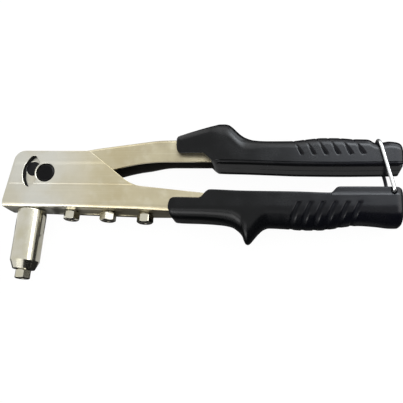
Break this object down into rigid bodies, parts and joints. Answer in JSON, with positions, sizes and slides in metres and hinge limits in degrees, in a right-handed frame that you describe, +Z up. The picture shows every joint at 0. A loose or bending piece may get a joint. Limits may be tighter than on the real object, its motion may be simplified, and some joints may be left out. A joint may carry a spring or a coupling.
{
  "type": "hand riveter",
  "caption": "Plier-style hand riveter: folded steel head, sprung puller in a round barrel, spare nosepieces along the frame, black moulded grips and a wire bail that locks the handles.",
  "frame": {"origin": "centre of the bounding box's footprint, on the surface that the tool lies on", "axes": "the tool lies on its side: +X runs from the head to the ends of the grips, +Y from the nosepiece towards the upper grip, +Z up across the tool's width"},
  "size_m": [0.2698, 0.108, 0.0319],
  "materials": {
    "nickel_plated_steel": "satin nickel plate on folded sheet steel",
    "black_moulded_plastic": "fine moulded texture with a soft sheen",
    "black_oxide_steel": "black oxide",
    "polished_chrome": "bright plate on turned steel",
    "turned_steel": "turned, oiled",
    "spring_steel": "drawn wire",
    "zinc_plated_wire": "bright zinc on round wire"
  },
  "bodies": {
    "frame": {"frame": "nickel_plated_steel", "lower_grip": "black_moulded_plastic", "fulcrum_pin": "black_oxide_steel", "fulcrum_nut": "black_oxide_steel", "barrel": "polished_chrome", "barrel_ring_nut": "polished_chrome", "nosepiece": "polished_chrome", "spare_nosepiece_1": "polished_chrome", "spare_nosepiece_2": "polished_chrome", "spare_nosepiece_3": "polished_chrome", "return_spring": "spring_steel"},
    "lever": {"lever": "nickel_plated_steel", "upper_grip": "black_moulded_plastic", "lifter_pin": "black_oxide_steel"},
    "puller": {"jaw_case": "turned_steel", "puller_hook": "turned_steel", "jaw_spring": "spring_steel"},
    "jaws": {"jaw_front": "turned_steel", "jaw_rear": "turned_steel", "jaw_pusher": "turned_steel"},
    "bail": {"bail": "zinc_plated_wire"}
  },
  "joints": [
    {"name": "lever_open", "type": "hinge", "parent": "frame", "child": "lever", "pos_m": [-0.10493, 0.01896, 0.01596], "axis": [0, 0, 1], "range_deg": [0, 60]},
    {"name": "puller_slide", "type": "slide", "parent": "frame", "child": "puller", "axis": [-0.0349, -0.9994, 0], "range_m": [0, 0.01121], "deforming": ["return_spring"]},
    {"name": "jaw_push", "type": "slide", "parent": "puller", "child": "jaws", "axis": [0.0349, 0.9994, 0], "range_m": [0, 0.003], "stiffness_N_per_m": 300, "springref_m": -0.004, "deforming": ["jaw_spring"]},
    {"name": "bail_swing", "type": "hinge", "parent": "frame", "child": "bail", "pos_m": [0.12787, 0.00428, 0.01596], "axis": [0, 0, 1], "range_deg": [-240, 0]}
  ],
  "couplings": [
    {"joint": "puller_slide", "follows": "lever_open", "m_per_rad": 0.0107}
  ]
}
